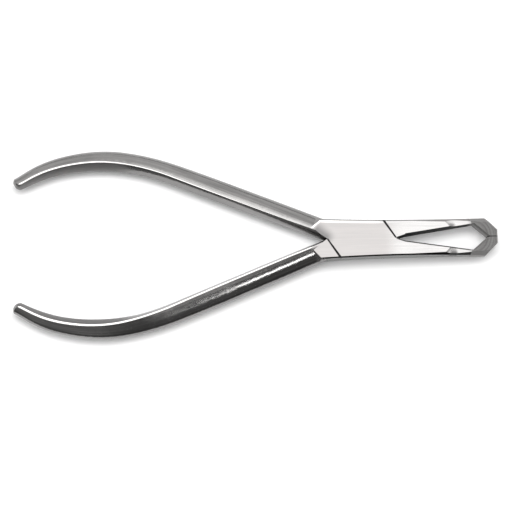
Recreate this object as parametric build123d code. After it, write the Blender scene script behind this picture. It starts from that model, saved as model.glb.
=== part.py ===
from build123d import *
import math
import os

# Orthodontic pliers with a lap joint. Lengths are in millimetres, angles in degrees.
# The two halves are one shape: half B is half A turned half round about the long X
# axis. Both are drawn about the joint's middle plane and then lifted, so the back of
# the joint lies at Z = 0, the pivot stands on the Z axis and the tips point to +X.

# Joint block
joint_thickness = 6.2
joint_corner_x = 11.2
joint_half_width = 5.72
waist_x = 12.0
waist_half_width = 5.07
edge_break = 0.4

# Lap joint: the seams lie square to a line that leans from the X axis by this angle
seam_lean = 34.0
shoulder_distance = 8.05
shoulder_clearance = 0.05
lap_clearance = 0.03
crotch_clearance = 0.10
seam_groove_depth = 0.22
seam_groove_deepening = 2.6

# Rivet: fixed in half A, running in half B
rivet_radius = 2.0
rivet_head_radius = 2.8
rivet_head_depth = 0.8
rivet_running_clearance = 0.03

# Jaws
jaw_taper_start = 11.0
jaw_length = 38.5
jaw_half_width = 5.35
jaw_thickness_at_neck = 5.2
face_blend_radius = 120.0
window_start_x = 12.3
window_start_half_height = 0.92
window_corner_half_height = 3.75
window_edge_break = 0.2

# Neck: thinner on both faces behind the tip, with a slanting curved step
neck_length = 4.5
neck_slant = 42.0
neck_thickness = 4.4
neck_step_radius = 7.0
neck_step_overrun = 0.4
neck_bevel_width = 1.0
neck_bevel_growth = 4.0
neck_bevel_slope = 42.0

# Tip inserts, brazed to the ends of the jaws
tip_gap = 0.05
tip_contact_length = 2.6
tip_slope_run = 4.4
tip_front_half_height = 1.9
tip_chamfer_length = 3.5
tip_seat_slant = -20.0
tip_seat_setback = 0.3
tip_inner_bevel = 0.45
tip_front_bevel = 0.3

# Handles: a straight run leaning outward, then a bow that turns back in
handle_root_x = 9.0
handle_root_y = 2.3
handle_lean = 21.9
handle_straight = 48.5
handle_bow_radius = 52.0
handle_bow_sweep = 50.8
handle_width_root = 5.75
handle_width_grip = 6.0
handle_width_bow = 5.65
handle_width_tail = 3.7
handle_thickness_tail = 4.3
handle_crown_front = 0.05
handle_crown_back = 0.10
handle_ridge_front = 1.60
handle_ridge_back = 0.90
handle_ridge_rounding = 0.3
handle_ridge_slope = 33.0
handle_side_lean = 0.15
handle_side_height = 0.45
handle_dome_slope_front = 5.5
handle_dome_slope_back = 11.0
handle_dome_height = 0.55
handle_end_length = 2.0
handle_end_fullness = 0.54
root_flat_x = 14.0
root_inner_x = 11.8
root_inner_y = 1.55
root_ramp_slope = 45.0
root_ramp_reach = 1.6
straight_stations = 7
bow_stations = 7

# Values that follow from the sizes above
half_thickness = joint_thickness / 2
plate_distance = shoulder_distance - shoulder_clearance
window_corner_x = jaw_length - tip_contact_length - tip_slope_run
neck_start = window_corner_x - neck_length
jaw_face_fall = (half_thickness - jaw_thickness_at_neck / 2) / (neck_start - jaw_taper_start)
seam_cos = math.cos(math.radians(seam_lean))
seam_sin = math.sin(math.radians(seam_lean))
crotch_x = plate_distance / seam_cos
reach = 2 * (jaw_length + handle_straight + handle_bow_radius)
handle_tail_x = (
    handle_root_x
    + handle_straight * math.cos(math.radians(handle_lean))
    + handle_bow_radius * math.sin(math.radians(handle_lean))
    + handle_bow_radius * math.sin(math.radians(handle_bow_sweep - handle_lean))
)

root_flat_run = (root_flat_x - handle_root_x) / math.cos(math.radians(handle_lean))
handle_bow_length = handle_bow_radius * math.radians(handle_bow_sweep)

# Handle sections: run along the path, width, how far the middle lies inward of the
# path, and how far front and back ridge lie from the inner side
handle_sections = (
    (0.0, handle_width_root, -0.08, handle_ridge_front, handle_ridge_back),
    (handle_straight * 0.3, handle_width_grip, 0.0, handle_ridge_front, handle_ridge_back),
    (handle_straight * 0.8, handle_width_grip, 0.05, handle_ridge_front, handle_ridge_back),
    (handle_straight + handle_bow_length * 0.13, handle_width_bow, 0.27, 1.75, 1.10),
    (handle_straight + handle_bow_length * 0.47, handle_width_bow, 0.0, 2.10, 1.80),
    (handle_straight + handle_bow_length * 0.73, 4.8, -0.08, 1.65, 1.60),
    (handle_straight + handle_bow_length, handle_width_tail, 0.35, 1.10, 1.20),
)


def both_ways(face, half_height):
    """Solid from a flat outline, as tall above the middle plane as below it."""
    return extrude(face, amount=half_height, both=True)


def face_envelope():
    """Ground front and back faces: flat on the joint, tapering to tip and tail."""
    jaw_end_x = jaw_length + 2
    taper_end_x = neck_start + neck_length / 2
    taper_end_half = half_thickness - jaw_face_fall * (taper_end_x - jaw_taper_start)
    fall = (half_thickness - handle_thickness_tail / 2) / (handle_tail_x - root_flat_x)
    tail_end_x = handle_tail_x + 4
    tail_end_half = half_thickness - fall * (tail_end_x - root_flat_x)
    bends = [
        (-root_flat_x, half_thickness),
        (jaw_taper_start, half_thickness),
        (taper_end_x, taper_end_half),
    ]
    upper = [(-tail_end_x, tail_end_half), *bends, (jaw_end_x, taper_end_half)]
    lower = [(x, -z) for x, z in reversed(upper)]
    profile = make_face(Polyline(*upper, *lower, close=True))
    corners = [
        v for v in profile.vertices()
        if -tail_end_x + 1 < v.X < jaw_end_x - 1
    ]
    profile = fillet(corners, radius=face_blend_radius)
    slab = extrude(Plane.XZ * profile, amount=reach, both=True)
    return slab


def jaw_and_joint_outline():
    """Outline of joint and closed jaws, with the root of handle A on the left."""
    corner = (-joint_corner_x, joint_half_width)
    waist = (waist_x, waist_half_width)
    jaw_corner = (jaw_length - tip_chamfer_length, jaw_half_width)
    top = ThreePointArc(corner, waist, jaw_corner)
    bottom = ThreePointArc(
        (jaw_corner[0], -jaw_corner[1]), (waist[0], -waist[1]), (corner[0], -corner[1])
    )
    front = Polyline(
        jaw_corner,
        (jaw_length, tip_front_half_height),
        (jaw_length, -tip_front_half_height),
        (jaw_corner[0], -jaw_corner[1]),
    )
    run = (joint_corner_x - root_flat_x, joint_half_width - root_flat_front)
    span = math.hypot(*run)
    back = (run[1] / span * root_ramp_reach, -run[0] / span * root_ramp_reach)
    root = Polyline(
        (corner[0], -corner[1]),
        (-crotch_x, 0),
        (-root_inner_x, root_inner_y),
        (-root_flat_x, root_flat_front),
        (-root_flat_x - back[0], root_flat_front + back[1]),
        (corner[0] - back[0], corner[1] + back[1] * 0.5),
        corner,
    )
    return make_face([*top.edges(), *front.edges(), *bottom.edges(), *root.edges()])


def root_ramp(flat_y):
    """Space over the ramp that falls from the front flat's slanting edge to the dome."""
    run = (root_flat_x - joint_corner_x, joint_half_width - flat_y)
    turn = math.degrees(math.atan2(run[1], run[0]))
    block = Box(reach, reach, reach, align=(Align.CENTER, Align.MIN, Align.MIN))
    edge = Pos(-root_flat_x, flat_y, half_thickness) * Rot(0, 0, turn)
    return edge * Rot(-root_ramp_slope, 0, 0) * block


def seam_groove():
    """Shallow groove along the right-hand seam of the front, deeper at its outer end."""
    side = seam_groove_depth * math.sqrt(2)
    bar = Box(side, joint_half_width * 3, side, align=(Align.CENTER, Align.MIN, Align.CENTER))
    bar = Rot(-seam_groove_deepening, 0, 0) * Rot(0, 45, 0) * bar
    return Pos(crotch_x, 0, half_thickness) * Rot(0, 0, seam_lean) * bar


def window_outline():
    """Gap between the closed jaws."""
    inner_tip_x = jaw_length - tip_contact_length
    return make_face(Polyline(
        (crotch_x - 0.2, 0),
        (window_start_x, window_start_half_height),
        (window_corner_x, window_corner_half_height),
        (inner_tip_x, 0),
        (window_corner_x, -window_corner_half_height),
        (window_start_x, -window_start_half_height),
        close=True,
    ))


def seam_outline(gap):
    """Everything past the seam on the +X +Y side: the other half's ground."""
    start = (crotch_x + gap * seam_sin / seam_cos, -gap)
    foot = (plate_distance * seam_cos, plate_distance * seam_sin)
    end_angle = math.radians(seam_lean + 50)
    middle_angle = math.radians(seam_lean + 25)
    middle = (plate_distance * math.cos(middle_angle), plate_distance * math.sin(middle_angle))
    end = (plate_distance * math.cos(end_angle), plate_distance * math.sin(end_angle))
    sides = Polyline(end, (end[0], reach), (reach, reach), (reach, -gap), start, foot)
    arc = ThreePointArc(foot, middle, end)
    return make_face([*sides.edges(), *arc.edges()])


def handle_place(run):
    """Centre, outward direction and backward direction of the handle at a run."""
    lean = math.radians(handle_lean)
    if run <= handle_straight:
        x = -handle_root_x - run * math.cos(lean)
        y = handle_root_y + run * math.sin(lean)
        turn = lean
    else:
        bend = (run - handle_straight) / handle_bow_radius
        turn = lean - bend
        x = -handle_root_x - handle_straight * math.cos(lean)
        x -= handle_bow_radius * (math.sin(lean) - math.sin(turn))
        y = handle_root_y + handle_straight * math.sin(lean)
        y += handle_bow_radius * (math.cos(turn) - math.cos(lean))
    outward = (math.sin(turn), math.cos(turn), 0)
    backward = (math.cos(turn), -math.sin(turn), 0)
    return Plane(origin=(x, y, 0), x_dir=outward, z_dir=backward)


def section_sizes(run):
    """Inner side, outer side, front ridge and back ridge of the handle at a run."""
    for before, after in zip(handle_sections, handle_sections[1:]):
        if run <= after[0] + 0.001:
            break
    share = (run - before[0]) / (after[0] - before[0])
    width, inset, front, back = [a + (b - a) * share for a, b in zip(before[1:], after[1:])]
    inner = -width / 2 - inset
    return inner, width / 2 - inset, inner + front, inner + back


def flat_edge_y(ridge, crown, slope):
    """Y at which the flat strip beside a ridge meets the dome, at the root flat's end."""
    strip_outer = ridge + crown / math.tan(math.radians(slope))
    return (
        handle_root_y
        + root_flat_run * math.sin(math.radians(handle_lean))
        + strip_outer / math.cos(math.radians(handle_lean))
    )


def side_curve(inner, ridge, apex):
    """Inner side of one face, from the middle plane up to the ridge."""
    fall = handle_ridge_rounding * math.tan(math.radians(handle_ridge_slope))
    lean = (ridge - inner) * handle_side_lean
    return [
        (inner, 0), (inner + lean, apex * handle_side_height),
        (ridge - handle_ridge_rounding, apex - fall), (ridge, apex),
    ]


def dome_curve(outer, ridge, apex, slope):
    """Domed outer side of one face, from the ridge down to the middle plane."""
    lead = (outer - ridge) / 2
    fall = lead * math.tan(math.radians(slope))
    return [(ridge, apex), (ridge + lead, apex - fall), (outer, apex * handle_dome_height), (outer, 0)]


def handle_section(run, half_height):
    """Half-round section: a steep inner side, two ridges and a domed outer side."""
    inner, outer, front, back = section_sizes(run)
    top = half_height + handle_crown_front
    bottom = half_height + handle_crown_back
    side = side_curve(inner, front, top)
    dome = dome_curve(outer, front, top, handle_dome_slope_front)
    under = [(x, -z) for x, z in reversed(dome_curve(outer, back, bottom, handle_dome_slope_back))]
    low = [(x, -z) for x, z in reversed(side_curve(inner, back, bottom))]
    curves = [Bezier(*points) for points in (side, dome, under, low)]
    return make_face([e for curve in curves for e in curve.edges()])


def handle_end():
    """What the rounding of the handle's free end takes away."""
    run = handle_straight + handle_bow_length - handle_end_length
    inner, outer, front, back = section_sizes(run)
    base = handle_place(run) * Pos((inner + outer) / 2, 0, 0)
    bullet = scale(Sphere(1), by=(
        (outer - inner) * handle_end_fullness,
        (handle_thickness_tail / 2 + handle_crown_back) * 2 * handle_end_fullness,
        handle_end_length * 2 * handle_end_fullness,
    ))
    beyond = Box(
        handle_width_tail * 4, handle_thickness_tail * 4, handle_end_length * 4,
        align=(Align.CENTER, Align.CENTER, Align.MAX),
    )
    return base * (beyond - bullet)


def handle_blank():
    """Handle before its faces are ground flat."""
    total = handle_straight + handle_bow_length
    growth = handle_thickness_tail / 2 - half_thickness
    step = handle_bow_length / bow_stations
    runs = [handle_straight * i / straight_stations for i in range(straight_stations)]
    runs += [handle_straight + step * i for i in range(bow_stations + 1)]
    sections = []
    for run in runs:
        half_height = half_thickness + growth * run / total
        sections.append(handle_place(run) * handle_section(run, half_height))
    return loft(sections) - handle_end()


def neck_relief():
    """Ground recess over the neck on the front face, with its curved step."""
    floor = neck_thickness / 2
    rise = (jaw_thickness_at_neck - neck_thickness) / 2 + neck_step_overrun
    bend = math.acos((neck_step_radius - rise) / neck_step_radius)
    start = (-neck_step_radius * math.sin(bend), floor + rise)
    middle = (
        -neck_step_radius * math.sin(bend / 2),
        floor + neck_step_radius * (1 - math.cos(bend / 2)),
    )
    arc = ThreePointArc(start, middle, (0, floor))
    rest = Polyline((0, floor), (reach, floor), (reach, reach), (start[0], reach), start)
    profile = make_face([*arc.edges(), *rest.edges()])
    tool = extrude(Plane.XZ * profile, amount=reach, both=True)
    pivot_y = -(window_corner_half_height + jaw_half_width) / 2
    return Pos(neck_start, pivot_y, 0) * Rot(0, 0, -neck_slant) * tool


def neck_bevel():
    """Space over the neck's outer bevel on the front face, wider towards the tip."""
    fall = neck_bevel_width * math.tan(math.radians(neck_bevel_slope))
    block = Box(reach, reach, reach, align=(Align.CENTER, Align.CENTER, Align.MIN))
    edge = Pos(window_corner_x, -jaw_half_width, neck_thickness / 2 - fall)
    return edge * Rot(0, 0, neck_bevel_growth) * Rot(neck_bevel_slope, 0, 0) * block


def tip_ground():
    """Everything past the slanting seat that the tip insert is brazed to."""
    block = Box(reach, reach, reach, align=(Align.MIN, Align.CENTER, Align.CENTER))
    seat = (window_corner_x - tip_seat_setback, -window_corner_half_height, 0)
    return Pos(*seat) * Rot(0, 0, tip_seat_slant) * block


def rivet_shape(clearance):
    """Rivet about the middle plane, its two heads flush, grown by a clearance."""
    shank = Cylinder(rivet_radius + clearance, joint_thickness)
    head = Cone(
        rivet_radius + clearance, rivet_head_radius + clearance, rivet_head_depth,
        align=(Align.CENTER, Align.CENTER, Align.MAX),
    )
    head = Pos(0, 0, half_thickness) * head
    return shank + head + mirror(head, about=Plane.XY)


def window_bevel():
    """Space over the narrow bevel along the jaw's edge at the window, on the front face."""
    run = window_corner_x - window_start_x
    rise = window_corner_half_height - window_start_half_height
    start_z = half_thickness - jaw_face_fall * (window_start_x - jaw_taper_start)
    bar = Box(
        neck_start - window_start_x, jaw_half_width, jaw_half_width,
        align=(Align.MIN, Align.CENTER, Align.MIN),
    )
    bar = Rot(0, math.degrees(math.atan(jaw_face_fall)), 0) * Rot(-45, 0, 0) * bar
    bar = Rot(0, 0, -math.degrees(math.atan2(rise, run))) * bar
    return Pos(window_start_x, -window_start_half_height - window_edge_break, start_z) * bar


def jaw_and_joint():
    """Front plate and lower jaw with the window cut and the outer rims chamfered."""
    block = both_ways(jaw_and_joint_outline(), reach) & face_envelope()
    block -= both_ways(window_outline(), reach)
    block -= both_ways(seam_outline(tip_gap / 2), reach)
    relief = neck_relief()
    block -= relief + mirror(relief, about=Plane.XY)
    block -= root_ramp(root_flat_front) + mirror(root_ramp(root_flat_back), about=Plane.XY)
    rim = [
        e for e in block.edges()
        if abs(e.center().Y) > waist_half_width - 1
        and abs(e.center().Z) > neck_thickness / 4
        and e.length > 3
        and -joint_corner_x < e.center().X < jaw_length - tip_chamfer_length
    ]
    block = chamfer(rim, length=edge_break)
    bevel = window_bevel()
    return block - bevel - mirror(bevel, about=Plane.XY)


def half_shape():
    """One whole half about the middle plane: handle at +Y, jaw at -Y, plate at +Z."""
    body = jaw_and_joint() + (handle_blank() & face_envelope())
    body -= both_ways(seam_outline(tip_gap / 2), reach)
    body -= Rot(0, 0, 180) * both_ways(seam_outline(crotch_clearance / 2), reach)
    slab = Box(
        2 * shoulder_distance, reach, reach,
        align=(Align.CENTER, Align.CENTER, Align.MAX),
    )
    body -= Pos(0, 0, lap_clearance / 2) * Rot(0, 0, -seam_lean) * slab
    groove = seam_groove()
    for turn in (Rot(0, 0, 0), Rot(0, 0, 180), Rot(180, 0, 0), Rot(0, 180, 0)):
        body -= turn * groove
    return body


def rims_near(shape, x, y, spread):
    """Edges of the insert's front and back faces with their middles near a point."""
    return [
        e for e in shape.edges()
        if abs(abs(e.center().Z) - neck_thickness / 2) < 0.01
        and abs(e.center().X - x) < spread
        and abs(e.center().Y - y) < spread
    ]


def tip_shape(half):
    """Tip insert cut from the closed half, with its working edges bevelled."""
    tip = half & tip_ground()
    inner_x = (window_corner_x + jaw_length - tip_contact_length) / 2
    tip = chamfer(
        rims_near(tip, inner_x, -window_corner_half_height / 2, 0.5),
        length=tip_inner_bevel,
    )
    slope_x = jaw_length - tip_chamfer_length / 2
    slope_y = -(jaw_half_width + tip_front_half_height) / 2
    front = rims_near(tip, jaw_length, -tip_front_half_height / 2, 0.5)
    front += rims_near(tip, slope_x, slope_y, 0.7)
    return chamfer(front, length=tip_front_bevel)


root_sizes = section_sizes(root_flat_run)
root_flat_front = flat_edge_y(root_sizes[2], handle_crown_front, handle_dome_slope_front)
root_flat_back = flat_edge_y(root_sizes[3], handle_crown_back, handle_dome_slope_back)
half = half_shape()
jaw_side = Box(reach, 2 * jaw_half_width, reach, align=(Align.MIN, Align.MAX, Align.CENTER))
outer_bevel = neck_bevel() & jaw_side
outer_bevels = outer_bevel + mirror(outer_bevel, about=Plane.XY)
tip = tip_shape(half) - outer_bevels
forging = half - tip_ground() - outer_bevels

lift = Pos(0, 0, half_thickness)
turn_over = lift * Rot(180, 0, 0)
half_a = lift * (forging - rivet_shape(0))
half_b = turn_over * (forging - rivet_shape(rivet_running_clearance))
rivet = lift * rivet_shape(0)
tip_a = lift * tip
tip_b = turn_over * tip

os.makedirs("parts", exist_ok=True)
export_step(half_a, "parts/half_a.step")
export_step(half_b, "parts/half_b.step")
export_step(rivet, "parts/pivot_rivet.step")
export_step(tip_a, "parts/tip_insert_a.step")
export_step(tip_b, "parts/tip_insert_b.step")
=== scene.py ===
"""Looks of a pair of orthodontic pliers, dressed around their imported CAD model."""

import logging
import math
from dataclasses import dataclass
from enum import Enum

import bmesh
import bpy
from mathutils import Matrix, Vector


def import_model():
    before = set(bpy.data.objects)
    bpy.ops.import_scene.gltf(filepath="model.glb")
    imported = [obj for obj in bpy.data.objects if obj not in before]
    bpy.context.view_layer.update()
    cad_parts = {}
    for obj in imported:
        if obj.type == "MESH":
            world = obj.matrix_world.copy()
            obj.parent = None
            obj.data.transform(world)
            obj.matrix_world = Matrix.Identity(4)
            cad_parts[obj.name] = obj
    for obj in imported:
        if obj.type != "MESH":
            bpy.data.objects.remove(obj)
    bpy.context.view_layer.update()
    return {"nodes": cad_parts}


MM = 0.001
LOG = logging.getLogger("pliers")

# A pair is a point of the plan, or the low and high end of a range
Pair = tuple[float, float]
Triple = tuple[float, float, float]
Colour = tuple[float, float, float]


class Node(Enum):
    """The pieces of the pliers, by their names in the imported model."""

    HALF_A = "half_a"
    HALF_B = "half_b"
    RIVET = "pivot_rivet"
    TIP_A = "tip_insert_a"
    TIP_B = "tip_insert_b"


def rgba(colour: Colour) -> tuple[float, float, float, float]:
    """Colour with full opacity."""
    return (*colour, 1.0)


class Sock:
    """An output socket whose arithmetic adds Math nodes to its material."""

    def __init__(self, desk: "Desk", socket: bpy.types.NodeSocket | None) -> None:
        """Keep the desk that adds nodes and the socket that is wrapped."""
        self.desk = desk
        self.socket = socket

    def math(self, operation: str, *others: "Sock | float") -> "Sock":
        """Join this socket and others in one Math node.

        Args:
            operation: The Math node's operation.
            others: Its further inputs, sockets or plain numbers.

        Returns:
            The node's output.
        """
        inputs = dict(enumerate((self, *others)))
        return self.desk.node("ShaderNodeMath", {"operation": operation}, inputs)

    def __add__(self, other: "Sock | float") -> "Sock":
        """Sum."""
        return self.math("ADD", other)

    def __radd__(self, other: "Sock | float") -> "Sock":
        """Sum with the number first."""
        return self.math("ADD", other)

    def __sub__(self, other: "Sock | float") -> "Sock":
        """Difference."""
        return self.math("SUBTRACT", other)

    def __rsub__(self, other: float) -> "Sock":
        """Difference with the number first."""
        return self.math("MULTIPLY", -1.0).math("ADD", other)

    def __mul__(self, other: "Sock | float") -> "Sock":
        """Product."""
        return self.math("MULTIPLY", other)

    def __rmul__(self, other: "Sock | float") -> "Sock":
        """Product with the number first."""
        return self.math("MULTIPLY", other)

    def abs(self) -> "Sock":
        """Size without its sign."""
        return self.math("ABSOLUTE")


class Desk:
    """Builds the nodes of one material or of the world."""

    def __init__(self, holder: bpy.types.Material | bpy.types.World) -> None:
        """Clear the holder's nodes and keep its tree.

        Args:
            holder: The material or world that the nodes belong to.
        """
        self.holder = holder
        holder.use_nodes = True
        self.tree = holder.node_tree
        self.tree.nodes.clear()

    @classmethod
    def material(cls, name: str) -> "Desk":
        """Desk for a new material."""
        return cls(bpy.data.materials.new(name))

    def node(
        self,
        kind: str,
        settings: dict[str, object] | None = None,
        inputs: dict[int | str, object] | None = None,
        output: int | str = 0,
    ) -> Sock:
        """Add a node, set it up and feed its sockets.

        Args:
            kind: The node's type name.
            settings: Properties set before its sockets are fed.
            inputs: Values or sockets by input name or number.
            output: Name or number of the output to return.

        Returns:
            The wrapped output, or an empty wrap for a node that has none.
        """
        made = self.tree.nodes.new(kind)
        for key, value in (settings or {}).items():
            setattr(made, key, value)
        for key, value in (inputs or {}).items():
            if isinstance(value, Sock):
                self.tree.links.new(value.socket, made.inputs[key])
            else:
                made.inputs[key].default_value = value
        return Sock(self, made.outputs[output] if len(made.outputs) else None)

    def axes(self, vector: Sock) -> tuple[Sock, Sock, Sock]:
        """Split a vector into its three parts.

        Args:
            vector: The vector's socket.

        Returns:
            Its X, Y and Z.
        """
        parts = self.tree.nodes.new("ShaderNodeSeparateXYZ")
        self.tree.links.new(vector.socket, parts.inputs[0])
        return tuple(Sock(self, out) for out in parts.outputs)

    def joined(self, x: Sock, y: Sock, z: Sock) -> Sock:
        """Vector from three parts."""
        return self.node("ShaderNodeCombineXYZ", {}, {0: x, 1: y, 2: z})

    def noise(self, vector: Sock, scale: float, detail: float = 2.0, rough: float = 0.5) -> Sock:
        """Noise between 0 and 1."""
        inputs = {"Vector": vector, "Scale": scale, "Detail": detail, "Roughness": rough}
        return self.node("ShaderNodeTexNoise", {}, inputs, output="Fac")

    def ramp(self, value: Sock, low: float, high: float, at_low: float, at_high: float) -> Sock:
        """Map a range of a value smoothly to another range.

        Args:
            value: The value that is mapped.
            low: Where its range begins.
            high: Where its range ends.
            at_low: The result at the low end and below it.
            at_high: The result at the high end and above it.

        Returns:
            The result.
        """
        ends = {"From Min": low, "From Max": high, "To Min": at_low, "To Max": at_high}
        settings = {"interpolation_type": "SMOOTHSTEP"}
        return self.node("ShaderNodeMapRange", settings, {"Value": value, **ends})

    def rise(self, value: Sock, low: float, high: float) -> Sock:
        """Share that grows from 0 to 1 over a range."""
        return self.ramp(value, low, high, 0.0, 1.0)

    def fall(self, value: Sock, low: float, high: float) -> Sock:
        """Share that sinks from 1 to 0 over a range."""
        return self.ramp(value, low, high, 1.0, 0.0)

    def blend(self, share: Sock, first: Colour | Sock, second: Colour | Sock) -> Sock:
        """Mix two colours.

        Args:
            share: How much of the second colour there is, from 0 to 1.
            first: A colour or a colour's socket.
            second: Another one.

        Returns:
            The mixed colour.
        """
        low = first if isinstance(first, Sock) else rgba(first)
        high = second if isinstance(second, Sock) else rgba(second)
        settings = {"data_type": "RGBA"}
        return self.node("ShaderNodeMix", settings, {0: share, 6: low, 7: high}, output=2)

    def bump(self, height: Sock, distance: float, strength: float) -> Sock:
        """Bump from a height map."""
        inputs = {"Height": height, "Distance": distance, "Strength": strength}
        return self.node("ShaderNodeBump", {}, inputs)

    def finish(self, inputs: dict[str, object]) -> bpy.types.Material:
        """Close the material with a Principled surface.

        Args:
            inputs: Values or sockets by the surface's input names.

        Returns:
            The finished material.
        """
        surface = self.node("ShaderNodeBsdfPrincipled", {}, inputs)
        self.node("ShaderNodeOutputMaterial", {}, {"Surface": surface})
        return self.holder


class Spot:
    """A point of a piece's surface, as the sockets that the finishes read."""

    MIDDLE_HEIGHT = 3.1 * MM

    def __init__(self, desk: Desk) -> None:
        """Read where the point is, and how level the surface lies there.

        Args:
            desk: The desk of the material.
        """
        self.desk = desk
        self.place = desk.node("ShaderNodeTexCoord", output="Object")
        self.x, self.y, self.z = desk.axes(self.place)
        self.lie = desk.axes(desk.node("ShaderNodeNewGeometry", output="Normal"))[2].abs()

    def side(self) -> Sock:
        """Y as it counts on the front face, and the other way round on the back."""
        return self.y * (self.z - self.MIDDLE_HEIGHT).math("SIGN")


@dataclass(frozen=True)
class HandleLine:
    """The handles' middle line: a straight run that leans outward, then a bow."""

    root: Pair = (-9.0 * MM, 2.3 * MM)
    lean: float = math.radians(21.9)
    straight: float = 48.5 * MM
    bow_radius: float = 52.0 * MM
    front_end: float = -12.6 * MM

    def across(self, spot: Spot) -> Sock:
        """Distance outward from the handle's middle line, or plain Y in joint and jaws.

        Args:
            spot: The point of the surface. Both handles are alike, so its Y loses its sign.

        Returns:
            The signed distance in metres.
        """
        side = spot.y.abs()
        sine = math.sin(self.lean)
        cosine = math.cos(self.lean)
        ahead = spot.x - self.root[0]
        aside = side - self.root[1]
        along = aside * sine - ahead * cosine
        centre_x = self.root[0] - self.straight * cosine - self.bow_radius * sine
        centre_y = self.root[1] + self.straight * sine - self.bow_radius * cosine
        ray_x = spot.x - centre_x
        ray_y = side - centre_y
        in_run = ahead * sine + aside * cosine
        in_bow = (ray_x * ray_x + ray_y * ray_y).math("SQRT") - self.bow_radius
        on_bow = along.math("GREATER_THAN", self.straight)
        in_front = spot.x.math("GREATER_THAN", self.front_end)
        line = in_run + on_bow * (in_bow - in_run)
        return line + in_front * (spot.y - line)


@dataclass(frozen=True)
class SeamLine:
    """The lap joint's seams, with painted shade along them on both faces."""

    lean: float = math.radians(34.0)
    distance: float = 8.02 * MM
    width: Pair = (0.13 * MM, 0.28 * MM)
    widening: float = 0.022
    front: Pair = (5.5 * MM, 5.6 * MM)
    back: Pair = (0.7 * MM, 0.8 * MM)
    inner_end: Pair = (0.0, 0.2 * MM)

    def gap_shade(self, spot: Spot) -> Sock:
        """Share of painted shade along the seams, which widen towards their outer ends.

        Args:
            spot: The point of the surface.

        Returns:
            The share, from 0 to 1.
        """
        desk = spot.desk
        on_front = desk.rise(spot.z, *self.front)
        on_back = desk.fall(spot.z, *self.back)
        shares = []
        for face, side in ((on_front, 1.0), (on_back, -1.0)):
            reach = spot.x * math.cos(self.lean) + spot.y * (side * math.sin(self.lean))
            outside = spot.y * side * spot.x.math("SIGN")
            off = (reach.abs() - self.distance).abs() - outside * self.widening
            here = desk.fall(off, *self.width) * face
            shares.append(here * desk.rise(outside, *self.inner_end))
        return shares[0] + shares[1]


@dataclass(frozen=True)
class JointFlat:
    """The flat faces of the lap joint: satin ground, with a polished rim on one side that carries a
    painted highlight.
    """

    flat_height: Pair = (2.98 * MM, 3.06 * MM)
    start: Pair = (-14.8 * MM, -13.6 * MM)
    end: Pair = (6.0 * MM, 12.0 * MM)
    level_lie: Pair = (0.94, 0.99)
    rim_curve: Triple = (5.289 * MM, -0.02872, 0.87)
    rim_width: Pair = (0.85 * MM, 1.1 * MM)
    root_edge: Pair = (-14.0 * MM, 3.5 * MM)
    root_corner: Pair = (-11.2 * MM, 5.72 * MM)
    root_edge_width: Pair = (0.38 * MM, 0.58 * MM)

    def polish_and_highlight(self, spot: Spot) -> Sock:
        """Share of polish with a painted highlight along the rim and along the root's slanting edge.

        Args:
            spot: The point of the surface.

        Returns:
            The share, from 0 to 1.
        """
        side = spot.side()
        base, slope, bend = self.rim_curve
        inside = spot.x * slope + spot.x * spot.x * bend + base - side
        rim = spot.desk.fall(inside, *self.rim_width)
        run = (self.root_corner[0] - self.root_edge[0], self.root_corner[1] - self.root_edge[1])
        span = math.hypot(*run)
        ahead = (spot.x - self.root_edge[0]) * (run[1] / span)
        slant = ahead - (side - self.root_edge[1]) * (run[0] / span)
        return rim.math("MAXIMUM", spot.desk.fall(slant, *self.root_edge_width))

    def satin(self, spot: Spot) -> Sock:
        """Share of satin grinding: on the joint's flats, short of the polish with its painted
        highlight and the jaws.

        Args:
            spot: The point of the surface.

        Returns:
            The share, from 0 to 1.
        """
        desk = spot.desk
        height = (spot.z - spot.MIDDLE_HEIGHT).abs()
        satin = desk.rise(spot.x, *self.start) * desk.fall(spot.x, *self.end)
        satin = satin * desk.rise(height, *self.flat_height) * desk.rise(spot.lie, *self.level_lie)
        return satin * (1.0 - self.polish_and_highlight(spot))


@dataclass(frozen=True)
class Chamfers:
    """The slanting edges of joint and jaws: painted shade on the lower rim, and grey painted shade on
    the bevel at the upper neck.
    """

    slanting: Pair = (0.5, 0.6)
    rim_level: Pair = (0.78, 0.86)
    rim_side: Pair = (-4.6 * MM, -4.4 * MM)
    rim_start: Pair = (-11.2 * MM, -10.2 * MM)
    rim_end: Pair = (24.5 * MM, 25.5 * MM)
    bevel_level: Pair = (0.80, 0.88)
    bevel_side: Pair = (4.0 * MM, 4.2 * MM)
    bevel_start: Pair = (20.0 * MM, 25.0 * MM)

    def low_rim(self, spot: Spot) -> Sock:
        """Share of painted shade on the rim chamfer of joint and jaw, on the lower side.

        Args:
            spot: The point of the surface.

        Returns:
            The share, from 0 to 1.
        """
        desk = spot.desk
        slanted = desk.rise(spot.lie, *self.slanting) * desk.fall(spot.lie, *self.rim_level)
        below = slanted * desk.fall(spot.side(), *self.rim_side)
        return below * desk.fall(spot.x, *self.rim_end) * desk.rise(spot.x, *self.rim_start)

    def neck_bevel(self, spot: Spot) -> Sock:
        """Share of grey painted shade on the bevel along the upper jaw's neck.

        Args:
            spot: The point of the surface.

        Returns:
            The share, from 0 to 1.
        """
        desk = spot.desk
        slanted = desk.rise(spot.lie, *self.slanting) * desk.fall(spot.lie, *self.bevel_level)
        above = slanted * desk.rise(spot.side(), *self.bevel_side)
        return above * desk.rise(spot.x, *self.bevel_start)


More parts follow.
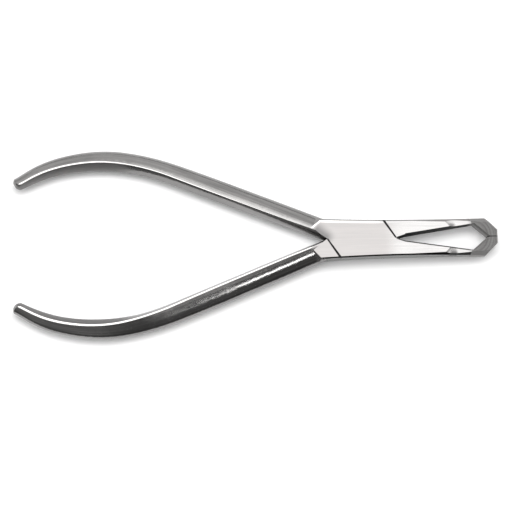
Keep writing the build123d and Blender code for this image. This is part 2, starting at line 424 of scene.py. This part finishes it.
@dataclass(frozen=True)
class JawWindow:
    """The gap between the jaws, whose walls and lower edge get a nearly black painted shade."""

    start: Pair = (9.65 * MM, 9.95 * MM)
    start_half_height: float = 0.02 * MM
    first_slope: float = 0.34
    knee: float = 12.3 * MM
    slope: float = 0.1474
    wall_margin: float = 0.34 * MM
    wall_fade: float = 0.06 * MM
    end: Pair = (30.1 * MM, 31.6 * MM)
    edge_side: Pair = (-0.3 * MM, -0.2 * MM)
    edge_share: float = 0.85

    def dark(self, spot: Spot, upright: Sock) -> Sock:
        """Share of painted shade on the walls of the gap and on the fine bevel at its edge.

        Args:
            spot: The point of the surface.
            upright: Share of surface that stands upright or nearly so.

        Returns:
            The share, from 0 to 1.
        """
        desk = spot.desk
        near = (spot.x - self.start[0]) * self.first_slope
        knee_rise = (self.knee - self.start[0]) * self.first_slope
        far = (spot.x - self.knee) * self.slope + knee_rise
        line = near.math("MINIMUM", far) + (self.start_half_height + self.wall_margin)
        wall = desk.rise(line - spot.y.abs(), -self.wall_fade, self.wall_fade)
        wall = wall * desk.fall(spot.x, *self.end) * desk.rise(spot.x, *self.start)
        edge = desk.ramp(spot.side(), *self.edge_side, self.edge_share, 0.0)
        return wall * upright.math("MAXIMUM", edge)


@dataclass(frozen=True)
class SeatDarkAndNeckShade:
    """Darker steel at the tips' seats, and painted shade in a patch over each neck."""

    raggedness: float = 1.5 * MM
    seat: Pair = (29.6 * MM, 31.8 * MM)
    seat_share: float = 0.5
    neck: float = 25.8 * MM
    neck_spread: float = 1.0 * MM
    neck_share: float = 0.9
    flare: float = 0.6 * MM
    low_side: Pair = (-5.0 * MM, -3.0 * MM)
    low_shares: Pair = (1.0, 0.3)
    high_side: Pair = (3.3 * MM, 4.2 * MM)
    high_shares: Pair = (0.7, 0.1)
    middle: float = 1.0 * MM

    def share(self, spot: Spot, cloud: Sock) -> Sock:
        """Share of darker steel at the seat and of painted shade at the neck.

        Args:
            spot: The point of the surface.
            cloud: Soft noise that makes the marks' ends ragged.

        Returns:
            The share, from 0 to 1.
        """
        desk = spot.desk
        side = spot.side()
        ragged = spot.x + (cloud - 0.5) * self.raggedness
        seat = desk.ramp(ragged, *self.seat, 0.0, self.seat_share)
        outer = desk.ramp(side, *self.low_side, *self.low_shares)
        lower = outer * desk.fall(side, -self.middle, 0.0)
        upper = desk.ramp(side, *self.high_side, *self.high_shares) * desk.rise(side, 0.0, self.middle)
        reach = (ragged - self.neck).abs() - outer * self.flare
        patch = desk.ramp(reach, 0.0, self.neck_spread, self.neck_share, 0.0)
        return seat.math("MAXIMUM", patch * lower.math("MAXIMUM", upper))


@dataclass(frozen=True)
class RootHollow:
    """Painted shade: a soft dark patch where the front face runs into handle A's inner side."""

    crotch_x: float = -9.65 * MM
    turn: float = math.radians(38.0)
    fade: float = 3.2 * MM
    deepest: float = 0.95
    foot: Pair = (-0.4 * MM, 0.1 * MM)
    near_end: Pair = (-2.2 * MM, 0.8 * MM)
    far_end: Pair = (4.0 * MM, 5.2 * MM)
    front: Pair = (5.6 * MM, 5.9 * MM)

    def share(self, spot: Spot) -> Sock:
        """Share of shade.

        Args:
            spot: The point of the surface.

        Returns:
            The share, from 0 to 1.
        """
        desk = spot.desk
        ahead = spot.x - self.crotch_x
        up = ahead * math.sin(self.turn) + spot.y * math.cos(self.turn)
        along = spot.y * math.sin(self.turn) - ahead * math.cos(self.turn)
        shade = desk.ramp(up, 0.0, self.fade, self.deepest, 0.0) * desk.rise(up, *self.foot)
        shade = shade * desk.fall(along, *self.far_end) * desk.rise(along, *self.near_end)
        return shade * desk.rise(spot.z, *self.front)


@dataclass(frozen=True)
class HandleShadeAndWear:
    """Handles: painted shade and duller steel inside the bows, and duller steel where fingers rub the
    lower one.
    """

    inner_across: Pair = (-1.2 * MM, -0.4 * MM)
    bow_run: Pair = (-70.0 * MM, -62.0 * MM)
    rub_end: Pair = (-64.0 * MM, -58.0 * MM)
    rub_start: Pair = (-39.0 * MM, -33.0 * MM)
    rub_side: Pair = (-1.0 * MM, 0.0)

    def inner_bow(self, spot: Spot, across: Sock) -> Sock:
        """Share of surface on the inner side of the handles' bows, which gets painted shade and duller
        steel.

        Args:
            spot: The point of the surface.
            across: Distance outward from the handle's middle line.

        Returns:
            The share, from 0 to 1.
        """
        inner = spot.desk.fall(across, *self.inner_across)
        return inner * spot.desk.fall(spot.x, *self.bow_run)

    def rubbed(self, spot: Spot) -> Sock:
        """Share of duller polish on the stretch of the lower handle that fingers rub.

        Args:
            spot: The point of the surface.

        Returns:
            The share, from 0 to 1.
        """
        desk = spot.desk
        stretch = desk.rise(spot.x, *self.rub_end) * desk.fall(spot.x, *self.rub_start)
        return stretch * desk.fall(spot.side(), *self.rub_side)


@dataclass(frozen=True)
class PolishMarks:
    """Marks of the polishing wheel along the steel, with soft clouds and a fine grain."""

    streak_scales: Pair = (70.0, 2600.0)
    streak_detail: Pair = (3.0, 0.62)
    band_scales: Pair = (45.0, 700.0)
    cloud_scale: float = 140.0
    cloud_detail: Pair = (3.0, 0.6)
    grain_scale: float = 5200.0
    tone_mix: Triple = (0.45, 0.35, 0.2)
    tone_range: Pair = (0.36, 0.64)
    relief_mix: Pair = (0.7, 0.3)
    relief: float = 0.003 * MM
    relief_strength: float = 0.12

    def lengthwise(self, spot: Spot, across: Sock, scales: Pair) -> Sock:
        """Coordinates whose scale along the steel differs from that over it."""
        return spot.desk.joined(spot.x * scales[0], across * scales[1], spot.z * scales[1])

    def streaks(self, spot: Spot, across: Sock) -> Sock:
        """Thin streaks along the steel."""
        way = self.lengthwise(spot, across, self.streak_scales)
        return spot.desk.noise(way, 1.0, *self.streak_detail)

    def cloud(self, spot: Spot) -> Sock:
        """Soft clouds."""
        return spot.desk.noise(spot.place, self.cloud_scale, *self.cloud_detail)

    def tone(self, spot: Spot, across: Sock, streaks: Sock, cloud: Sock) -> Sock:
        """Share of paler steel.

        Args:
            spot: The point of the surface.
            across: Distance outward from the handle's middle line.
            streaks: Thin streaks along the steel.
            cloud: Soft clouds.

        Returns:
            The share, from 0 to 1.
        """
        bands = spot.desk.noise(self.lengthwise(spot, across, self.band_scales), 1.0)
        thin, broad, soft = self.tone_mix
        return spot.desk.rise(streaks * thin + bands * broad + cloud * soft, *self.tone_range)

    def normal(self, spot: Spot, streaks: Sock) -> Sock:
        """Relief of the streaks and the grain.

        Args:
            spot: The point of the surface.
            streaks: Thin streaks along the steel.

        Returns:
            The surface normal.
        """
        grain = spot.desk.noise(spot.place, self.grain_scale)
        height = streaks * self.relief_mix[0] + grain * self.relief_mix[1]
        return spot.desk.bump(height, self.relief, self.relief_strength)


@dataclass(frozen=True)
class ForgedSteel:
    """Stainless forging: satin joint, bright jaws and handles, painted shade on sides, rims, seams,
    jaw gap, necks and root, painted highlights on level tops, and darker tip seats.
    """

    handle: HandleLine = HandleLine()
    seams: SeamLine = SeamLine()
    joint: JointFlat = JointFlat()
    chamfers: Chamfers = Chamfers()
    window: JawWindow = JawWindow()
    seat_dark_and_neck_shade: SeatDarkAndNeckShade = SeatDarkAndNeckShade()
    hollow: RootHollow = RootHollow()
    shade_and_wear: HandleShadeAndWear = HandleShadeAndWear()
    marks: PolishMarks = PolishMarks()
    pale: Colour = (0.61, 0.598, 0.588)
    shade: Colour = (0.43, 0.423, 0.418)
    satin_pale: Colour = (0.500, 0.480, 0.472)
    satin_shade: Colour = (0.455, 0.438, 0.432)
    # Painted shade: upright sides take this darker steel.
    side_pale: Colour = (0.28, 0.275, 0.272)
    side_shade: Colour = (0.20, 0.196, 0.194)
    jaw_pale: Colour = (0.545, 0.535, 0.528)
    jaw_shade: Colour = (0.475, 0.467, 0.462)
    # Painted highlight: level tops take this paler steel.
    top_highlight: Colour = (0.82, 0.805, 0.79)
    # Painted shade on the inner side of the bows.
    bow_side: Colour = (0.24, 0.236, 0.233)
    # Painted shade on the lower rim chamfer.
    low_rim_shade: Colour = (0.05, 0.049, 0.048)
    # Grey painted shade on the upper neck's bevel.
    bevel: Colour = (0.24, 0.228, 0.225)
    # Painted shade in the hollow at handle A's root.
    root_hollow_shade: Colour = (0.20, 0.195, 0.195)
    # Darker steel at the tip seats, painted shade over the necks.
    seat_and_neck_dark: Colour = (0.065, 0.063, 0.062)
    # Painted shade, near black, in the seams and on the jaw gap's walls.
    gap_shade: Colour = (0.012, 0.012, 0.012)
    upright_lie: Pair = (0.76, 0.86)
    ridge_lie: Pair = (0.985, 0.998)
    jaw_start: Pair = (3.0 * MM, 6.0 * MM)
    bright_gloss: float = 0.125
    satin_gloss: float = 0.36
    gap_shade_gloss: float = 0.85
    streak_gloss: float = 0.12
    cloud_gloss: float = 0.06
    seat_and_neck_dullness: float = 0.3
    bow_dullness: float = 0.45
    rub_dullness: float = 0.06

    def clean_colour(self, spot: Spot, tone: Sock, satin: Sock, upright: Sock) -> Sock:
        """Colour of the steel: handles with a painted highlight on level tops, then jaws, satin joint,
        and painted shade on the sides over it.

        Args:
            spot: The point of the surface.
            tone: Share of paler steel.
            satin: Share of satin grinding.
            upright: Share of surface that stands upright or nearly so.

        Returns:
            The colour.
        """
        desk = spot.desk
        colour = desk.blend(tone, self.shade, self.pale)
        # Painted highlight on level faces.
        colour = desk.blend(desk.rise(spot.lie, *self.ridge_lie), colour, self.top_highlight)
        jaw = desk.blend(tone, self.jaw_shade, self.jaw_pale)
        colour = desk.blend(desk.rise(spot.x, *self.jaw_start), colour, jaw)
        colour = desk.blend(satin, colour, desk.blend(tone, self.satin_shade, self.satin_pale))
        # Painted shade on the upright sides.
        return desk.blend(upright, colour, desk.blend(tone, self.side_shade, self.side_pale))

    def make(self, name: str) -> bpy.types.Material:
        """Build the steel of one piece.

        Args:
            name: The material's name.

        Returns:
            The material.
        """
        desk = Desk.material(name)
        spot = Spot(desk)
        across = self.handle.across(spot)
        streaks = self.marks.streaks(spot, across)
        cloud = self.marks.cloud(spot)
        tone = self.marks.tone(spot, across, streaks, cloud)
        # Satin stops at the polish, which takes the painted highlight of level tops.
        satin = self.joint.satin(spot)
        upright = desk.fall(spot.lie, *self.upright_lie)
        bow = self.shade_and_wear.inner_bow(spot, across) * upright
        seat_and_neck_darkened = self.seat_dark_and_neck_shade.share(spot, cloud)
        # Painted shade in the jaw gap and along the seams, black and not metallic.
        shaded_gaps = self.window.dark(spot, upright).math("MAXIMUM", self.seams.gap_shade(spot))
        colour = self.clean_colour(spot, tone, satin, upright)
        # Painted shade inside the bows.
        colour = desk.blend(bow, colour, self.bow_side)
        # Painted shade on the lower rim.
        colour = desk.blend(self.chamfers.low_rim(spot), colour, self.low_rim_shade)
        # Grey painted shade on the upper neck's bevel.
        colour = desk.blend(self.chamfers.neck_bevel(spot), colour, self.bevel)
        # Painted shade at handle A's root.
        colour = desk.blend(self.hollow.share(spot), colour, self.root_hollow_shade)
        # Darker tip seats and painted shade over the necks.
        colour = desk.blend(seat_and_neck_darkened, colour, self.seat_and_neck_dark)
        gloss = satin * (self.satin_gloss - self.bright_gloss) + self.bright_gloss
        gloss = gloss + (streaks - 0.5) * self.streak_gloss + (cloud - 0.5) * self.cloud_gloss
        gloss = gloss + seat_and_neck_darkened * self.seat_and_neck_dullness + bow * self.bow_dullness
        gloss = gloss + self.shade_and_wear.rubbed(spot) * self.rub_dullness
        return desk.finish({
            "Base Color": desk.blend(shaded_gaps, colour, self.gap_shade),
            "Metallic": 1.0 - shaded_gaps,
            "Roughness": gloss + shaded_gaps * (self.gap_shade_gloss - gloss),
            "Normal": self.marks.normal(spot, streaks),
        })


@dataclass(frozen=True)
class GroundTip:
    """Hard tip alloy: dull grey with curved grinding marks, a painted sheen on slanted faces and
    painted shade along the parting line.
    """

    pale: Colour = (0.225, 0.221, 0.218)
    shade: Colour = (0.095, 0.093, 0.092)
    # Painted sheen: slanted faces take this paler grey.
    bevel: Colour = (0.34, 0.334, 0.33)
    # Painted shade along the hairline gap between the tips.
    parting_shade: Colour = (0.03, 0.029, 0.029)
    parting_width: Pair = (0.10 * MM, 0.18 * MM)
    parting_share: float = 0.9
    wheel_x: float = 31.0 * MM
    mark_scales: Triple = (3800.0, 900.0, 130.0)
    mark_detail: Pair = (3.0, 0.6)
    grain_scale: float = 3600.0
    tone_mix: Pair = (0.65, 0.35)
    tone_range: Pair = (0.34, 0.66)
    level_lie: Pair = (0.80, 0.92)
    gloss: float = 0.40
    grain_gloss: float = 0.15
    bevel_dullness: float = 0.2
    relief: float = 0.012 * MM
    relief_strength: float = 0.5

    def make(self, name: str) -> bpy.types.Material:
        """Build the alloy of one tip.

        Args:
            name: The material's name.

        Returns:
            The material.
        """
        desk = Desk.material(name)
        spot = Spot(desk)
        off = spot.x - self.wheel_x
        radius = (off * off + spot.y * spot.y).math("SQRT")
        round_wheel, up, along = self.mark_scales
        turned = desk.joined(radius * round_wheel, spot.z * up, off * along)
        marks = desk.noise(turned, 1.0, *self.mark_detail)
        grain = desk.noise(spot.place, self.grain_scale, *self.mark_detail)
        tone = desk.rise(marks * self.tone_mix[0] + grain * self.tone_mix[1], *self.tone_range)
        slanted = desk.fall(spot.lie, *self.level_lie)
        # Painted sheen on slanted faces.
        colour = desk.blend(slanted, desk.blend(tone, self.shade, self.pale), self.bevel)
        # Painted shade along the parting line.
        parting_shaded = desk.ramp(spot.y.abs(), *self.parting_width, self.parting_share, 0.0)
        return desk.finish({
            "Base Color": desk.blend(parting_shaded, colour, self.parting_shade),
            "Metallic": 1.0,
            "Roughness": grain * self.grain_gloss + slanted * self.bevel_dullness + self.gloss,
            "Normal": desk.bump(tone, self.relief, self.relief_strength),
        })


def wear_finish(piece: bpy.types.Object, finish: bpy.types.Material) -> None:
    """Give a node its finish and report it.

    Args:
        piece: The node's object.
        finish: The material that takes the place of the plain one.
    """
    piece.data.materials[0] = finish
    LOG.info("%s wears %s", piece.name, finish.name)


@dataclass(frozen=True)
class PliersSide:
    """One side of the pliers: a forging with handle, plate and jaw, and its brazed tip."""

    forging: Node
    tip: Node
    steel: ForgedSteel = ForgedSteel()
    alloy: GroundTip = GroundTip()

    def dress(self, nodes: dict[str, bpy.types.Object]) -> None:
        """Give the forging and the tip insert their finishes.

        Args:
            nodes: The model's nodes by name.
        """
        forging = self.forging.value
        tip = self.tip.value
        wear_finish(nodes[forging], self.steel.make(f"{forging}_steel"))
        wear_finish(nodes[tip], self.alloy.make(f"{tip}_alloy"))


@dataclass(frozen=True)
class PivotRivet:
    """The rivet, ground flush with both faces and finished like the joint around it."""

    rivet: Node = Node.RIVET
    steel: ForgedSteel = ForgedSteel()

    def dress(self, nodes: dict[str, bpy.types.Object]) -> None:
        """Give the rivet the joint's satin finish.

        Args:
            nodes: The model's nodes by name.
        """
        wear_finish(nodes[self.rivet.value], self.steel.make("rivet_satin"))


@dataclass(frozen=True)
class PaperFloor:
    """Pale floor under the pliers, with a little glow of its own."""

    size: float = 1.6
    tone: float = 0.93
    glow: float = 0.06

    def lay(self) -> None:
        """Make the floor and its paper."""
        shape = bmesh.new()
        bmesh.ops.create_grid(shape, x_segments=1, y_segments=1, size=self.size / 2)
        mesh = bpy.data.meshes.new("floor")
        shape.to_mesh(mesh)
        shape.free()
        floor = bpy.data.objects.new("floor", mesh)
        bpy.context.scene.collection.objects.link(floor)
        desk = Desk.material("floor_paper")
        base = desk.node("ShaderNodeBsdfDiffuse", {}, {"Color": rgba((self.tone,) * 3)})
        glow = desk.node("ShaderNodeEmission", {}, {"Strength": self.glow})
        both = desk.node("ShaderNodeAddShader", {}, {0: base, 1: glow})
        desk.node("ShaderNodeOutputMaterial", {}, {"Surface": both})
        mesh.materials.append(desk.holder)


@dataclass(frozen=True)
class StudioSky:
    """World light: broad and soft overhead, grey to the north and dark to the south."""

    overhead: float = 1.85
    overhead_south: Pair = (-0.33, -0.12)
    overhead_north: Pair = (0.38, 0.66)
    overhead_rise: Pair = (0.1, 0.5)
    overhead_low_share: float = 0.3
    north: float = 0.52
    dusk: Pair = (-0.20, 0.45)
    south: float = 0.07
    south_west: float = 0.16
    west_edge: Pair = (-0.20, 0.10)
    west_rise: Pair = (0.12, 0.45)
    horizon: float = 0.18
    horizon_rise: Pair = (0.05, 0.35)

    def shine(self) -> None:
        """Make the world and its light."""
        world = bpy.data.worlds.new("studio")
        bpy.context.scene.world = world
        desk = Desk(world)
        way = desk.node("ShaderNodeTexCoord", output="Generated")
        east, north, up = desk.axes(way)
        box = desk.rise(north, *self.overhead_south) * desk.fall(north, *self.overhead_north)
        box = box * desk.ramp(up, *self.overhead_rise, self.overhead_low_share, 1.0)
        west = desk.fall(east, *self.west_edge) * desk.rise(up, *self.west_rise)
        south = west * (self.south_west - self.south) + self.south
        south = south + desk.ramp(up, *self.horizon_rise, self.horizon, 0.0)
        sky = south + desk.rise(north, *self.dusk) * (self.north - south)
        level = sky + box * (self.overhead - sky)
        light = desk.node("ShaderNodeBackground", {}, {"Color": level, "Strength": 1.0})
        desk.node("ShaderNodeOutputWorld", {}, {"Surface": light})


@dataclass(frozen=True)
class SoftLamp:
    """Rectangular lamp that faces the pliers, with a brightness that its size doesn't change."""

    name: str
    place: Triple
    size: Pair
    level: float
    mirrored: bool

    def hang(self, target: Vector) -> None:
        """Make the lamp and turn it to the pliers.

        Args:
            target: The point that it faces.
        """
        data = bpy.data.lights.new(self.name, "AREA")
        data.shape = "RECTANGLE"
        data.size, data.size_y = self.size
        data.energy = self.level * math.pi * self.size[0] * self.size[1]
        lamp = bpy.data.objects.new(self.name, data)
        lamp.location = self.place
        lamp.rotation_euler = (target - Vector(self.place)).to_track_quat("-Z", "Y").to_euler()
        lamp.visible_glossy = self.mirrored
        bpy.context.scene.collection.objects.link(lamp)


@dataclass(frozen=True)
class Studio:
    """Pale floor, soft light and the photograph's camera above the handle B side."""

    floor: PaperFloor = PaperFloor()
    sky: StudioSky = StudioSky()
    strip: SoftLamp = SoftLamp("side_strip", (0.110, -0.238, 0.468), (0.085, 0.028), 5.5, True)
    north: SoftLamp = SoftLamp("north_soft", (0.0, 0.37, 0.93), (0.7, 0.42), 4.6, False)
    middle: Triple = (-29.9 * MM, -4.1 * MM, 3.1 * MM)
    distance: float = 500 * MM
    lens: float = 124.0
    tilt: float = math.radians(8.4)
    roll: float = math.radians(1.09)
    clip_start: float = 10 * MM

    def build(self) -> None:
        """Make floor, world, lamps and camera."""
        self.floor.lay()
        self.sky.shine()
        for lamp in (self.strip, self.north):
            lamp.hang(Vector(self.middle))
        self.make_camera()

    def make_camera(self) -> None:
        """Camera above the pliers, leaning from the handle B side."""
        data = bpy.data.cameras.new("photo_camera")
        data.lens = self.lens
        data.clip_start = self.clip_start
        camera = bpy.data.objects.new("photo_camera", data)
        back = Vector((0.0, -math.sin(self.tilt), math.cos(self.tilt)))
        place = Vector(self.middle) + back * self.distance
        turn = Matrix.Rotation(self.tilt, 4, "X") @ Matrix.Rotation(-self.roll, 4, "Z")
        camera.matrix_world = Matrix.Translation(place) @ turn
        bpy.context.scene.collection.objects.link(camera)
        bpy.context.scene.camera = camera


def main() -> None:
    """Load the model, dress its sub-assemblies in order and light them."""
    logging.basicConfig(level=logging.INFO, format="%(name)s: %(message)s")
    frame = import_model()
    bpy.context.scene.view_settings.view_transform = "Standard"
    parts = (
        PliersSide(Node.HALF_A, Node.TIP_A),
        PliersSide(Node.HALF_B, Node.TIP_B),
        PivotRivet(),
    )
    for part in parts:
        part.dress(frame["nodes"])
    Studio().build()


if __name__ == "__main__":
    main()
